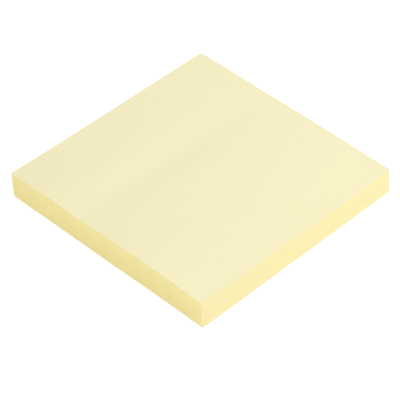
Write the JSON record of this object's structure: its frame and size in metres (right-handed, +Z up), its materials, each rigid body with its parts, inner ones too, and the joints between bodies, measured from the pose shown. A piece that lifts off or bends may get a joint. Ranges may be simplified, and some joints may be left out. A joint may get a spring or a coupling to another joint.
{
  "type": "sticky note pad",
  "caption": "Square pad of repositionable paper notes, bonded along one edge, with a release backing sheet under the last note.",
  "frame": {"origin": "on the underside, at the middle of the pad's outline", "axes": "+Z up through the stack, +Y towards the bonded edge, +X to a writer's right"},
  "size_m": [0.0762, 0.0762, 0.0092],
  "materials": {
    "note_paper": "matt uncoated pale yellow paper",
    "backing_paper": "smooth release-coated kraft paper"
  },
  "bodies": {
    "root": {"note_block": "note_paper", "backing_sheet": "backing_paper"}
  },
  "joints": []
}
